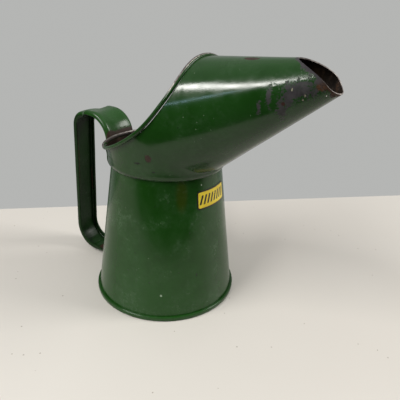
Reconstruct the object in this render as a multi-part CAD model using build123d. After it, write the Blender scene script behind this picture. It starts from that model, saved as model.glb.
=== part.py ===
from build123d import *
import os
from math import atan2, cos, hypot, pi, radians, sin, sqrt, tan

# Open pouring can for engine oil: a conical sheet-steel body, a hood that runs out
# into a tapering spout, and a pressed strap handle behind. Millimetres, +Z up.
# Origin: centre of the foot ring on the surface the can stands on. +X is the spout's side.

# --- sheet and foot ---------------------------------------------------------------
SHEET = 0.6              # thickness of the tinned steel sheet
FOOT_R = 51.0            # outer radius of the double seam at the foot
FOOT_H = 3.2             # height of the double seam
FOOT_INNER_R = 47.4      # inner radius of the double seam
BASE_RECESS = 2.6        # underside of the bottom disc above the surface
GAP = 0.05               # slack between pieces that only touch

# --- conical body -----------------------------------------------------------------
BODY_FOOT_R = 49.7       # outer radius produced down to the surface
BODY_TAPER = 0.1294      # radius lost per millimetre of height
BODY_LOW_Z = 0.9         # lower edge of the body, turned outwards inside the double seam
BODY_TOP_Z = 98.5        # top edge of the body, inside the collar

# --- collar of the hood -----------------------------------------------------------
COLLAR_Z = 95.6          # lower edge of the collar
HOOD_Z = 98.9            # height where the collar becomes the hood
HOOD_R = 40.0            # outer radius of the hood there
# outer radius and height of its turned-in lower part
COLLAR_PROFILE = [(38.5, 95.6), (39.15, 96.3), (39.65, 97.3), (39.92, 98.2)]

# --- spout cone -------------------------------------------------------------------
APEX_X = 133.4           # point where the spout's straight lines would meet
APEX_Z = 174.7
SPOUT_TILT = radians(21.85)
SPOUT_HALF = radians(17.39)
FOLD_X = 43.0            # line, parallel to Y, about which the hood's sections fan out
FOLD_Z = HOOD_Z
BLEND_ANGLE = radians(40)                    # beyond this fan angle the hood is the plain cone
NECK_EASE = -3.6         # how much the sections lag at first, so the neck's rear stands almost upright
SPOUT_ANGLE = pi / 2 - SPOUT_TILT            # fan angle of the section square to the spout
TIP_TRIM_RATIO = 0.12    # size of the section where the cone is cut off, beyond the lip
SECTION_POINTS = 12      # spans in each half of a section
HOOD_SECTIONS = 14       # steps of the fan between the collar and the plain cone

# --- fill opening and pouring lip, seen from the side as (x, z) -------------------
RIM_REAR_ANGLE = radians(4.3)                # fan angle of the opening's lowest, rearmost point
RIM_TOP_X = 30.2                             # the opening's highest point, on the spout's top line
RIM_MIDDLE = [(-22, 107.3), (-2, 114.7), (13, 125.2), (24.5, 140.5), (30.3, 157.0)]
OUTLET_EDGE = [(78.5, 172.6), (90, 169.7), (98.4, 166.1), (104.2, 162.1), (107.9, 158.1)]
LIP_END = (114, 153.6)
ABOVE_Z = 200            # height that the cutting blocks reach, above everything
BEHIND_X = -80           # how far back the fill opening's cutting block reaches
BEYOND_X = 150           # how far forward the outlet's cutting block reaches
REAR_LEVEL = 1.9         # how far below the opening's rear point its cutting block starts, outside the wall

# --- rolled edge of the fill opening ----------------------------------------------
CURL_R = 1.4             # outer radius of the rolled edge
WIRE_R = 0.8             # radius of the wire inside it
CURL_POINTS = 10         # points along each half of the rolled edge
CURL_GAP = 0.3           # where its ends meet, at the rear

# --- handle -----------------------------------------------------------------------
STRAP = 1.0              # thickness of the strap
GRIP_HALF = 9.0          # half width of the channel-shaped grip
ARCH_HALF = 13.0         # half width of the flat upper end
FLANGE = 4.4             # depth of the channel
HANDLE_CORNERS = [(-42.4, 99.5), (-43.4, 121.1), (-86.2, 121.1), (-92.5, -1.0), (-49.3, 4.6), (-48.0, 14.5)]
HANDLE_RADII = [19.0, 16.6, 18.6, 2.0]
ARCH_FLAT_X = -58.0      # the strap has its full width from here to the neck
GRIP_FROM_X = -80.0      # and the grip's width behind this
ARCH_OPEN_X = -62.0      # the channel's edges die out from here to ARCH_FLAT_X
FOOT_OPEN_X = (-56.0, -54.0)                 # and over this stretch at the strap's foot
BACK_X = -130.0          # behind the handle
FRONT_X = -20.0          # in front of the handle's ends

# --- label ------------------------------------------------------------------------
LABEL_LOW = 74.9
LABEL_HIGH = 87.2
LABEL_HALF_ANGLE = 21.0  # degrees either side of the spout's side
LABEL_THICK = 0.15
LABEL_CORNER = 2.0

# --- seams ------------------------------------------------------------------------
SEAM_WIDTH = 4.0         # width of a folded or lapped seam strip
SIDE_SEAM_THICK = 1.0
SEAM_LOW_Z = 4.0         # ends of the body's lock seam
SEAM_HIGH_Z = 94.0
SPOUT_SEAM = (50.0, 104.0)                   # ends of the spout's lapped seam, along X


def body_radius(z):
    return BODY_FOOT_R - BODY_TAPER * z


def turned(points):
    """A solid of revolution about Z from (radius, height) points."""
    return revolve(Plane.XZ * make_face(Polyline(*points, close=True)), Axis.Z)


def body_shell():
    """The tapering wall, its lower edge turned out into the foot seam."""
    low = BODY_LOW_Z
    flange_r = FOOT_R - SHEET - 2 * GAP
    points = [(body_radius(low) - SHEET, low), (flange_r, low), (flange_r, low + SHEET)]
    points += [(body_radius(low + SHEET), low + SHEET), (body_radius(BODY_TOP_Z), BODY_TOP_Z)]
    points += [(body_radius(BODY_TOP_Z) - SHEET, BODY_TOP_Z)]
    return turned(points)


def base_disc():
    """The raised bottom and the double seam round it, one sheet."""
    inner_r = FOOT_INNER_R
    hook_r = body_radius(FOOT_H) + GAP
    points = [(0, BASE_RECESS), (inner_r, BASE_RECESS), (inner_r, 0), (FOOT_R, 0), (FOOT_R, FOOT_H)]
    points += [(hook_r, FOOT_H), (hook_r + 2 * GAP, FOOT_H - SHEET), (FOOT_R - SHEET, FOOT_H - SHEET)]
    points += [(FOOT_R - SHEET, SHEET), (inner_r + SHEET, SHEET)]
    points += [(inner_r + SHEET, BASE_RECESS + SHEET), (0, BASE_RECESS + SHEET)]
    return turned(points)


def base_seam_compound():
    """Sealing compound between the bottom's rim and the body's wall."""
    inner_r = FOOT_INNER_R + SHEET
    top = BASE_RECESS
    points = [(inner_r, SHEET), (body_radius(BODY_LOW_Z) - SHEET - GAP, SHEET)]
    points += [(body_radius(top) - SHEET - GAP, top), (inner_r, top)]
    return turned(points)


def body_side_seam():
    """The folded strip of the lock seam, down the inside of the body's rear."""
    low, high = SEAM_LOW_Z, SEAM_HIGH_Z
    inner = BODY_FOOT_R - SHEET - GAP / 2
    outer_face = [(-inner + BODY_TAPER * low, low), (-inner + BODY_TAPER * high, high)]
    inner_face = [(x + SIDE_SEAM_THICK, z) for x, z in reversed(outer_face)]
    side = make_face(Polyline(*outer_face, *inner_face, close=True))
    strip = extrude(Plane.XZ * side, SEAM_WIDTH / 2, both=True)
    core = Solid.make_cone(inner - BODY_TAPER * low, inner - BODY_TAPER * high, high - low)
    return strip & Pos(0, 0, low) * core


# --- hood and spout ---------------------------------------------------------------
def cone_reach(angle, slope):
    """Distance from the fold to a straight line of the cone, along a fan direction."""
    rise = APEX_Z - FOLD_Z - (APEX_X - FOLD_X) * tan(slope)
    return rise / (sin(angle) + cos(angle) * tan(slope))


def cone_ellipse(angle):
    """Centre distance and half axes (along the fan, across it) of the plain cone's section."""
    low_slope = SPOUT_TILT + SPOUT_HALF
    high_slope = SPOUT_TILT - SPOUT_HALF
    near = cone_reach(angle, low_slope)
    far = cone_reach(angle, high_slope)
    near_r = (APEX_X - FOLD_X + near * cos(angle)) / cos(low_slope) * sin(SPOUT_HALF)
    far_r = (APEX_X - FOLD_X + far * cos(angle)) / cos(high_slope) * sin(SPOUT_HALF)
    return (near + far) / 2, (far - near) / 2, sqrt(near_r * far_r)


def hood_ellipse(angle):
    """Section of the hood at a fan angle: the neck's circle at 0, easing into the cone."""
    if angle >= BLEND_ANGLE:
        return cone_ellipse(angle)
    step = 0.01
    start = (FOLD_X, HOOD_R, HOOD_R)
    eases = (NECK_EASE, NECK_EASE, 0)
    end = cone_ellipse(BLEND_ANGLE)
    beyond = cone_ellipse(BLEND_ANGLE + step)
    p = angle / BLEND_ANGLE
    blended = []
    for a, ease, b, c in zip(start, eases, end, beyond):
        slope = (c - b) / step * BLEND_ANGLE
        blend = a + (b - a) * p * p * (3 - 2 * p)
        blended.append(blend + ease * p * (1 - p) ** 2 + slope * p * p * (p - 1))
    return tuple(blended)


def fan_face(angle, centre_x, centre_z, along, across):
    """An oval face square to the fan direction, made of two mirrored halves."""
    half = []
    for k in range(SECTION_POINTS + 1):
        turn = pi * k / SECTION_POINTS
        reach = -along * cos(turn)
        y = across * sin(turn) if 0 < k < SECTION_POINTS else 0
        half.append((centre_x - reach * cos(angle), y, centre_z + reach * sin(angle)))
    other = [(x, -y, z) for x, y, z in reversed(half)]
    return make_face([Spline(*half), Spline(*other)])


def hood_section(angle, inset):
    """Closed section of the hood, its wall inset inwards by a thickness."""
    centre, along, across = hood_ellipse(angle)
    middle_x = FOLD_X - centre * cos(angle)
    middle_z = FOLD_Z + centre * sin(angle)
    return fan_face(angle, middle_x, middle_z, along - inset, across - inset)


def tip_section(inset):
    """The last section, square to the spout, past the pouring lip."""
    centre, along, across = cone_ellipse(SPOUT_ANGLE)
    middle_x = FOLD_X - centre * cos(SPOUT_ANGLE)
    middle_z = FOLD_Z + centre * sin(SPOUT_ANGLE)
    x = APEX_X + (middle_x - APEX_X) * TIP_TRIM_RATIO
    z = APEX_Z + (middle_z - APEX_Z) * TIP_TRIM_RATIO
    radius = along * TIP_TRIM_RATIO - inset
    return fan_face(SPOUT_ANGLE, x, z, radius, radius)


def collar_section(radius, z, inset):
    """A level section of the collar, which is round about Z."""
    return fan_face(0, 0, z, radius - inset, radius - inset)


def hood_solid(inset):
    """The collar, hood and spout filled solid, or their hollow when inset by the sheet."""
    angles = [SPOUT_ANGLE * k / HOOD_SECTIONS for k in range(HOOD_SECTIONS + 1)]
    sections = [collar_section(radius, z, inset) for radius, z in COLLAR_PROFILE]
    sections += [hood_section(angle, inset) for angle in angles]
    return loft(sections + [tip_section(inset)], ruled=True)


def rim_line():
    """Side view of the fill opening's edge, from its rear point to its top point."""
    centre, along, across = hood_ellipse(RIM_REAR_ANGLE)
    reach = centre + along
    rear = (FOLD_X - reach * cos(RIM_REAR_ANGLE), FOLD_Z + reach * sin(RIM_REAR_ANGLE))
    top = (RIM_TOP_X, APEX_Z - (APEX_X - RIM_TOP_X) * tan(SPOUT_TILT - SPOUT_HALF))
    return Spline(rear, *RIM_MIDDLE, top, tangents=[(1, 0.05), (0, 1)], tangent_scalars=(1, 1))


def fill_cutter():
    edge = rim_line()
    rear, top = edge @ 0, edge @ 1
    corners = [(top.X, ABOVE_Z), (BEHIND_X, ABOVE_Z), (BEHIND_X, rear.Y - REAR_LEVEL)]
    frame = Polyline((top.X, top.Y), *corners, (rear.X, rear.Y))
    return extrude(Plane.XZ * make_face([edge, frame]), 2 * HOOD_R, both=True)


def outlet_cutter():
    edge = Spline(*OUTLET_EDGE)
    start, end = OUTLET_EDGE[0], OUTLET_EDGE[-1]
    corners = [LIP_END, (BEYOND_X, LIP_END[1]), (BEYOND_X, ABOVE_Z), (start[0], ABOVE_Z)]
    frame = Polyline(end, *corners, start)
    return extrude(Plane.XZ * make_face([edge, frame]), HOOD_R, both=True)


def hood_shell():
    """Collar, hood and spout, one sheet, with its two openings cut."""
    return hood_solid(0) - hood_solid(SHEET) - fill_cutter() - outlet_cutter()


def curl_points():
    """Centre of the rolled edge down one side, from the rear to the top, outside the wall."""
    edge = rim_line()
    out = CURL_R - SHEET
    points = []
    for k in range(CURL_POINTS + 1):
        share = (1 - cos(pi * k / CURL_POINTS)) / 2
        at, run = edge @ share, edge % share
        x = at.X - run.Y * CURL_R
        z = at.Y + run.X * CURL_R
        angle = atan2(z - FOLD_Z, FOLD_X - x)
        centre, along, across = hood_ellipse(angle)
        u = min(1.0, (hypot(FOLD_X - x, z - FOLD_Z) - centre) / along) if 0 < k < CURL_POINTS else 1.0
        v = sqrt(1 - u * u)
        normal = hypot(u / along, v / across)
        reach = centre + along * u + out * u / along / normal
        y = across * v + out * v / across / normal
        points.append((FOLD_X - reach * cos(angle), y, FOLD_Z + reach * sin(angle)))
    return points


def round_bar(radius):
    """A round bar along the rolled edge, lofted through circles square to it."""
    (rear_x, _, rear_z), *side, top = curl_points()
    ends = [(0, 1, 0), (0, -1, 0)]
    path = Spline((rear_x, CURL_GAP / 2, rear_z), *side, top, tangents=ends, tangent_scalars=(1, 1))
    steps = 2 * CURL_POINTS
    across = (-0.8, 0, 0.6)
    rings = []
    for k in range(2 * steps + 1):
        u = min(k, 2 * steps - k) / steps
        at, run = path @ u, path % u
        if k <= steps:
            ring = Plane(origin=at, x_dir=across, z_dir=run)
        else:
            ring = Plane(origin=(at.X, -at.Y, at.Z), x_dir=across, z_dir=(-run.X, run.Y, -run.Z))
        rings.append(ring * Circle(radius))
    return loft(rings)


def rim_wire():
    """The wire that the fill opening's edge is rolled over."""
    return round_bar(WIRE_R)


def rim_curl():
    """The fill opening's rolled edge."""
    return round_bar(CURL_R) - round_bar(WIRE_R)


def neck_solder():
    """Solder in the gap between the body's top and the collar round it."""
    low = COLLAR_Z + SHEET + GAP
    top = BODY_TOP_Z
    inside = COLLAR_PROFILE[1][0] - SHEET - 4 * GAP
    middle_r, middle_z = COLLAR_PROFILE[2]
    points = [(body_radius(low) + GAP, low), (inside, low + 2 * GAP), (middle_r - SHEET - 4 * GAP, middle_z)]
    points += [(HOOD_R - SHEET - 6 * GAP, top), (body_radius(top) + GAP, top)]
    return turned(points)


def hood_seam_strip():
    """Inner leaf of the spout's lapped seam, along its lowest line."""
    slope = SPOUT_TILT + SPOUT_HALF
    lift = (SHEET + GAP / 2) / cos(slope)
    low = [(x, APEX_Z - (APEX_X - x) * tan(slope) + lift) for x in SPOUT_SEAM]
    high = [(x, z + SHEET / cos(slope)) for x, z in reversed(low)]
    return extrude(Plane.XZ * make_face(Polyline(*low, *high, close=True)), SEAM_WIDTH / 4, both=True)


# --- handle -----------------------------------------------------------------------
def shifted(corners, depth):
    """Corners of a polyline moved to its left by a depth."""
    lines = []
    for (x0, z0), (x1, z1) in zip(corners, corners[1:]):
        length = hypot(x1 - x0, z1 - z0)
        dx, dz = (x1 - x0) / length, (z1 - z0) / length
        lines.append((x0 - dz * depth, z0 + dx * depth, dx, dz))
    moved = [lines[0][:2]]
    for (x0, z0, dx0, dz0), (x1, z1, dx1, dz1) in zip(lines, lines[1:]):
        t = ((x1 - x0) * dz1 - (z1 - z0) * dx1) / (dx0 * dz1 - dz0 * dx1)
        moved.append((x0 + dx0 * t, z0 + dz0 * t))
    end_x, end_z = corners[-1]
    moved.append((end_x - lines[-1][3] * depth, end_z + lines[-1][2] * depth))
    return moved


def handle_side(depth_from, depth_to):
    """Band of the handle's side view between two depths below its outer face."""
    edges = []
    for depth in (depth_from, depth_to):
        radii = [r - depth for r in HANDLE_RADII[:3]] + [HANDLE_RADII[3] + depth]
        edges.append(FilletPolyline(*shifted(HANDLE_CORNERS, depth), radius=radii))
    first, second = edges
    caps = [Line(first @ 0, second @ 0), Line(first @ 1, second @ 1)]
    return extrude(Plane.XZ * make_face([first, second, *caps]), 20, both=True)


def plan(points, low, high):
    """A block with the given plan, mirrored about the X axis, between two heights."""
    outline = points + [(x, -y) for x, y in reversed(points)]
    return Pos(0, 0, low) * extrude(make_face(Polyline(*outline, close=True)), high - low)


def handle_strap():
    """The pressed strap: a channel along the grip, flat where it meets the neck and the body."""
    low, middle, high = -10, 60, 150
    arch = [(GRIP_FROM_X, GRIP_HALF), (ARCH_FLAT_X, ARCH_HALF), (FRONT_X, ARCH_HALF)]
    upper = plan([(BACK_X, GRIP_HALF), *arch], middle, high)
    lower = plan([(BACK_X, GRIP_HALF), (FRONT_X, GRIP_HALF)], low, middle)
    inside = GRIP_HALF - STRAP
    flat = ARCH_HALF + STRAP
    opened = [(ARCH_OPEN_X, inside + 3 * STRAP), (ARCH_FLAT_X, flat), (FRONT_X, flat)]
    upper_void = plan([(BACK_X, inside), (GRIP_FROM_X, inside), *opened], middle, high)
    foot_start, foot_end = FOOT_OPEN_X
    lower_void = plan([(BACK_X, inside), (foot_start, inside), (foot_end, flat), (FRONT_X, flat)], low, middle)
    channel = handle_side(0, FLANGE) & (upper + lower)
    return channel - (handle_side(STRAP, FLANGE + STRAP) & (upper_void + lower_void))


def handle_upper_solder():
    """Solder between the strap's upper end and the rear of the neck."""
    x, z, side = -41, 102.3, 3.6
    block = Pos(x, 0, z) * Box(side, 2 * ARCH_HALF - 7, side)
    return block - handle_side(0, FLANGE) - Pos(0, 0, z) * Cylinder(HOOD_R + 0.95, 10)


def handle_lower_solder():
    """Solder between the strap's foot and the rear of the body."""
    low, high = 5.6, 13.4
    block = Pos(-47.5, 0, (low + high) / 2) * Box(5, 2 * GRIP_HALF - 1, high - low)
    top = BODY_TOP_Z
    base = (Align.CENTER, Align.CENTER, Align.MIN)
    core = Cone(body_radius(0) + GAP, body_radius(top) + GAP, top, align=base)
    return block - core - handle_side(0, FLANGE)


def front_label():
    """Plain printed label wrapped round the body's spout side."""
    slack = GAP / 2
    low_r, high_r = body_radius(LABEL_LOW), body_radius(LABEL_HIGH)
    points = [(low_r + slack, LABEL_LOW), (low_r + slack + LABEL_THICK, LABEL_LOW)]
    points += [(high_r + slack + LABEL_THICK, LABEL_HIGH), (high_r + slack, LABEL_HIGH)]
    band = turned(points)
    half = low_r * sin(radians(LABEL_HALF_ANGLE))
    middle = (LABEL_LOW + LABEL_HIGH) / 2
    face = RectangleRounded(2 * half, LABEL_HIGH - LABEL_LOW, LABEL_CORNER)
    window = extrude(Plane((0, 0, middle), x_dir=(0, 1, 0), z_dir=(1, 0, 0)) * face, 60)
    return band & window


PIECES = {
    "body_shell": body_shell,
    "base_disc": base_disc,
    "base_seam_compound": base_seam_compound,
    "body_side_seam": body_side_seam,
    "hood_shell": hood_shell,
    "rim_curl": rim_curl,
    "rim_wire": rim_wire,
    "neck_solder": neck_solder,
    "hood_seam_strip": hood_seam_strip,
    "handle_strap": handle_strap,
    "handle_upper_solder": handle_upper_solder,
    "handle_lower_solder": handle_lower_solder,
    "front_label": front_label,
}

os.makedirs("parts", exist_ok=True)
for name, build in PIECES.items():
    export_step(build(), f"parts/{name}.step")
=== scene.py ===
from math import acos, atan2, cos, hypot, pi, radians, sin, sqrt, tan

import bmesh
import bpy
from mathutils import Matrix, Vector, noise


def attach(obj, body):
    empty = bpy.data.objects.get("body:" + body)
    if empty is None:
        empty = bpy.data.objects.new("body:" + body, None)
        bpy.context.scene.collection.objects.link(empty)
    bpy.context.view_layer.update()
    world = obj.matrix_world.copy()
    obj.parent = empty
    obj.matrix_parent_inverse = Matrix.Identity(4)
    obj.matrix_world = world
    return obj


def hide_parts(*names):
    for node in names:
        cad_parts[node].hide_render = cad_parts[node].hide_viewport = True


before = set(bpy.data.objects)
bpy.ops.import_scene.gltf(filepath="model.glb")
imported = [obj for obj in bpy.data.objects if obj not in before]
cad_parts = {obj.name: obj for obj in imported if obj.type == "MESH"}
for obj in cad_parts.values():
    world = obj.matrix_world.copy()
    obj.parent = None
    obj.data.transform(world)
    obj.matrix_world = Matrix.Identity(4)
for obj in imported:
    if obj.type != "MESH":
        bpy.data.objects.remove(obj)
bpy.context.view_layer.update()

# Open oil pouring can. Lengths below are millimetres in the row frame, +X towards the lip.
MM = 0.001

# --- sizes shared with the part ---------------------------------------------------
SHEET = 0.6              # body and hood gauge
FOOT_R = 51.0            # rolled seam round the foot
FOOT_H = 3.2
BASE_RECESS = 2.6        # the bottom disc stands clear of the table
BODY_FOOT_R = 49.7
BODY_TAPER = 0.1294      # radius lost per millimetre of height
BODY_TOP_Z = 98.5
# turned-in lower edge of the hood, as (radius, height)
COLLAR = [(37.5, 95.72), (37.9, 95.55), (38.5, 95.65), (39.15, 96.3), (39.65, 97.3), (39.92, 98.2)]
HOOD_Z = 98.9
HOOD_R = 40.0
APEX_X = 133.4           # where the spout's sides would meet
APEX_Z = 174.7
SPOUT_TILT = radians(21.85)
SPOUT_HALF = radians(17.39)
FOLD_X = 43.0            # fold under the spout, which the hood's sections fan about
FOLD_Z = HOOD_Z
BLEND_ANGLE = radians(40)
NECK_EASE = -3.6
RIM_REAR_ANGLE = radians(4.3)
RIM_TOP_X = 30.2
RIM_MIDDLE = [(-22, 107.3), (-2, 114.7), (13, 125.2), (24.5, 140.5), (30.3, 157.0)]
OUTLET_EDGE = [(78.5, 172.6), (90, 169.7), (98.4, 166.1), (104.2, 162.1), (107.9, 158.1), (114, 153.6)]
CURL_R = 1.4
STRAP = 1.0              # strap gauge
GRIP_HALF = 9.0
ARCH_HALF = 13.0
FLANGE = 4.4             # depth of the strap's turned edges
HANDLE_CORNERS = [(-42.4, 99.5), (-43.4, 121.1), (-86.2, 121.1)]
HANDLE_CORNERS += [(-92.5, -1.0), (-49.3, 4.6), (-48.0, 14.5)]
HANDLE_RADII = [19.0, 12.5, 18.6, 2.0]
LABEL_LOW = 74.9
LABEL_HIGH = 87.2
LABEL_HALF_ANGLE = radians(21.0)
LABEL_CORNER = 2.0

# --- working limits ---------------------------------------------------------------
HALVINGS = 40            # rounds that find a value to far less than a hair
SLOPE_ROUNDS = 60        # rounds that settle a side line's slopes
SLOPE_STEP = 0.01        # radians between the sections that give the cone's slope
APEX_SHARE = 0.95        # the outlet always cuts the spout before this share of the way
CLEAR_ABOVE = 20.0       # height that no part of the spout reaches
SHARP_FOLD = 32          # degrees from which an edge is shaded sharp
WELD_REACH = 2e-6        # metres within which points are one
SLIVER = 1e-7            # metres below which an edge is nothing


def body_radius(z):
    return BODY_FOOT_R - BODY_TAPER * z


def between(low, high, share):
    return low + (high - low) * share


def ease(low, high, at):
    """Smooth step from 0 at low to 1 at high."""
    p = min(1.0, max(0.0, (at - low) / (high - low)))
    return p * p * (3 - 2 * p)


def halving(too_far, low, high):
    """The value between low and high where too_far turns true."""
    for _ in range(HALVINGS):
        middle = (low + high) / 2
        if too_far(middle):
            high = middle
        else:
            low = middle
    return (low + high) / 2


# --- side-view lines --------------------------------------------------------------
class SideLine:
    """A smooth line through (x, z) points, leaving and arriving in given directions."""

    def __init__(self, points, start, end):
        self.points = points
        self.spans = [hypot(b[0] - a[0], b[1] - a[1]) for a, b in zip(points, points[1:])]
        self.length = sum(self.spans)
        self.slopes = list(zip(*(self.fit(axis, start[axis], end[axis]) for axis in (0, 1))))

    def fit(self, axis, start, end):
        p = [point[axis] for point in self.points]
        h = self.spans
        slopes = [start] + [0.0] * (len(p) - 2) + [end]
        for _ in range(SLOPE_ROUNDS):
            for i in range(1, len(p) - 1):
                pull = 3 * ((p[i] - p[i - 1]) / h[i - 1] ** 2 + (p[i + 1] - p[i]) / h[i] ** 2)
                pull -= slopes[i - 1] / h[i - 1] + slopes[i + 1] / h[i]
                slopes[i] = pull / (2 / h[i - 1] + 2 / h[i])
        return slopes

    def at(self, share):
        """Place and unit direction at a share of the length."""
        s = min(max(share, 0.0), 1.0) * self.length
        i = 0
        while i < len(self.spans) - 1 and s > self.spans[i]:
            s -= self.spans[i]
            i += 1
        h = self.spans[i]
        u = s / h
        place, run = [], []
        for axis in (0, 1):
            a, b = self.points[i][axis], self.points[i + 1][axis]
            m, n = self.slopes[i][axis] * h, self.slopes[i + 1][axis] * h
            place.append(a + m * u + (3 * (b - a) - 2 * m - n) * u * u + (2 * (a - b) + m + n) * u ** 3)
            run.append(m + 2 * (3 * (b - a) - 2 * m - n) * u + 3 * (2 * (a - b) + m + n) * u * u)
        size = hypot(*run)
        return place, (run[0] / size, run[1] / size)


def rounded_line(corners, radii, step):
    """Points along straight runs whose inner corners are rounded, no further apart than step."""
    points = [Vector(corners[0])]

    def run_to(end):
        start = points[-1]
        count = max(1, int((end - start).length / step))
        points.extend(start.lerp(end, (k + 1) / count) for k in range(count))

    for before, corner, after, radius in zip(corners, corners[1:], corners[2:], radii):
        here = Vector(corner)
        back = (Vector(before) - here).normalized()
        on = (Vector(after) - here).normalized()
        half = acos(max(-1.0, min(1.0, back.dot(on)))) / 2
        reach = radius / tan(half)
        centre = here + (back + on).normalized() * (radius / sin(half))
        first, last = here + back * reach, here + on * reach
        run_to(first)
        sweep = pi - 2 * half
        count = max(4, int(radius * sweep / step) + 1)
        for k in range(1, count + 1):
            share = k / count
            arm = (first - centre) * sin((1 - share) * sweep) + (last - centre) * sin(share * sweep)
            points.append(centre + arm / sin(sweep))
    run_to(Vector(corners[-1]))
    return points


# --- hood surface -----------------------------------------------------------------
def cone_reach(angle, slope):
    """Distance from the fold to a sloping line through the apex, at an angle up from the rear."""
    rise = APEX_Z - FOLD_Z - (APEX_X - FOLD_X) * tan(slope)
    return rise / (sin(angle) + cos(angle) * tan(slope))


def cone_ellipse(angle):
    """Centre distance and half axes where a fanned plane cuts the spout's cone."""
    low_slope = SPOUT_TILT + SPOUT_HALF
    high_slope = SPOUT_TILT - SPOUT_HALF
    near = cone_reach(angle, low_slope)
    far = cone_reach(angle, high_slope)
    near_r = (APEX_X - FOLD_X + near * cos(angle)) / cos(low_slope) * sin(SPOUT_HALF)
    far_r = (APEX_X - FOLD_X + far * cos(angle)) / cos(high_slope) * sin(SPOUT_HALF)
    return (near + far) / 2, (far - near) / 2, sqrt(near_r * far_r)


def hood_ellipse(angle):
    """Centre distance and half axes of the hood's section in a plane fanned about the fold."""
    if angle >= BLEND_ANGLE:
        return cone_ellipse(angle)
    start = (FOLD_X, HOOD_R, HOOD_R)
    eases = (NECK_EASE, NECK_EASE, 0)
    end = cone_ellipse(BLEND_ANGLE)
    beyond = cone_ellipse(BLEND_ANGLE + SLOPE_STEP)
    p = angle / BLEND_ANGLE
    blended = []
    for a, lag, b, c in zip(start, eases, end, beyond):
        slope = (c - b) / SLOPE_STEP * BLEND_ANGLE
        blend = a + (b - a) * p * p * (3 - 2 * p)
        blended.append(blend + lag * p * (1 - p) ** 2 + slope * p * p * (p - 1))
    return tuple(blended)


def hood_point(angle, turn):
    """A point of the hood: turn 0 is under the spout, and pi is at the top or rear."""
    centre, along, across = hood_ellipse(angle)
    reach = centre - along * cos(turn)
    return Vector((FOLD_X - reach * cos(angle), across * sin(turn), FOLD_Z + reach * sin(angle)))


def make_rim_line():
    """The fill opening's edge in side view, from the rear of the collar to the hood's top."""
    rear = hood_point(RIM_REAR_ANGLE, pi)
    top = (RIM_TOP_X, APEX_Z - (APEX_X - RIM_TOP_X) * tan(SPOUT_TILT - SPOUT_HALF))
    return SideLine([(rear.x, rear.z), *RIM_MIDDLE, top], (1, 0.05), (0, 1))


RIM = make_rim_line()
OUTLET = SideLine(OUTLET_EDGE, (0.985, -0.17), (0.8, -0.6))


def fan_angle(x, z):
    return atan2(z - FOLD_Z, FOLD_X - x)


def rim_turn(angle):
    """How far round a section the wall runs before the fill opening cuts it."""
    share = halving(lambda s: fan_angle(*RIM.at(s)[0]) > angle, 0.0, 1.0)
    (x, z), _ = RIM.at(share)
    centre, along, _ = hood_ellipse(angle)
    return acos(max(-1.0, min(1.0, (centre - hypot(FOLD_X - x, z - FOLD_Z)) / along)))


def outlet_height(x):
    """Height at which the slanting cut of the pouring lip passes a place along the spout."""
    if x <= OUTLET_EDGE[0][0]:
        return OUTLET_EDGE[0][1] + CLEAR_ABOVE
    share = halving(lambda s: OUTLET.at(s)[0][0] > x, 0.0, 1.0)
    return OUTLET.at(share)[0][1]


def lip_share(start):
    """How near to the apex the straight line through start runs before the outlet cuts it."""
    apex = Vector((APEX_X, 0, APEX_Z))

    def outside(s):
        at = start.lerp(apex, s)
        return at.z > outlet_height(at.x)

    return halving(outside, 0.0, APEX_SHARE)


# --- meshes -----------------------------------------------------------------------
def make_piece(name, points, faces, sharp=SHARP_FOLD):
    """A mesh object from points in millimetres, shaded smooth except at sharp folds."""
    mesh = bpy.data.meshes.new(name)
    mesh.from_pydata([Vector(p) * MM for p in points], [], faces)
    mesh.validate()
    mesh.polygons.foreach_set("use_smooth", [True] * len(mesh.polygons))
    mesh.set_sharp_from_angle(angle=radians(sharp))
    piece = bpy.data.objects.new(name, mesh)
    bpy.context.scene.collection.objects.link(piece)
    return piece


def weld(piece, outward=False, sharp=SHARP_FOLD):
    """Joins points that meet, and turns a closed skin's faces outward if asked."""
    skin = bmesh.new()
    skin.from_mesh(piece.data)
    bmesh.ops.remove_doubles(skin, verts=skin.verts, dist=WELD_REACH)
    bmesh.ops.dissolve_degenerate(skin, edges=skin.edges, dist=SLIVER)
    if outward:
        bmesh.ops.recalc_face_normals(skin, faces=skin.faces)
    skin.to_mesh(piece.data)
    skin.free()
    piece.data.polygons.foreach_set("use_smooth", [True] * len(piece.data.polygons))
    piece.data.set_sharp_from_angle(angle=radians(sharp))


def grid_faces(rows, columns, ring=False):
    """Faces between neighbouring rows of points, closed into rings if asked."""
    faces = []
    for i in range(rows - 1):
        low, high = i * columns, (i + 1) * columns
        for j in range(columns if ring else columns - 1):
            k = (j + 1) % columns
            faces.append((low + j, low + k, high + k, high + j))
    return faces


def empty_slots(piece, count):
    """Gives a piece material slots to be filled later, so that its faces can choose among them."""
    for _ in range(count):
        piece.data.materials.append(None)


def uneven(piece, amount, size, seed=0.0):
    """Very slight unevenness of hand-formed sheet."""
    offset = Vector((seed, seed * 0.7, -seed))
    mesh = piece.data
    normals = [v.normal.copy() for v in mesh.vertices]
    for v, n in zip(mesh.vertices, normals):
        v.co += n * (noise.noise(v.co / (size * MM) + offset) * amount * MM)


def thicken(piece, thickness, inside=1, edge=2):
    """Gives an open skin its sheet thickness inwards, with materials inside and on cut edges."""
    empty_slots(piece, 3)
    solid = piece.modifiers.new("sheet", "SOLIDIFY")
    solid.thickness = thickness * MM
    solid.offset = -1
    solid.use_even_offset = True
    solid.use_quality_normals = True
    solid.material_offset = inside
    solid.material_offset_rim = edge
    made = bpy.data.meshes.new_from_object(piece.evaluated_get(bpy.context.evaluated_depsgraph_get()))
    piece.modifiers.clear()
    old = piece.data
    piece.data = made
    bpy.data.meshes.remove(old)
    piece.data.set_sharp_from_angle(angle=radians(SHARP_FOLD))


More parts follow.
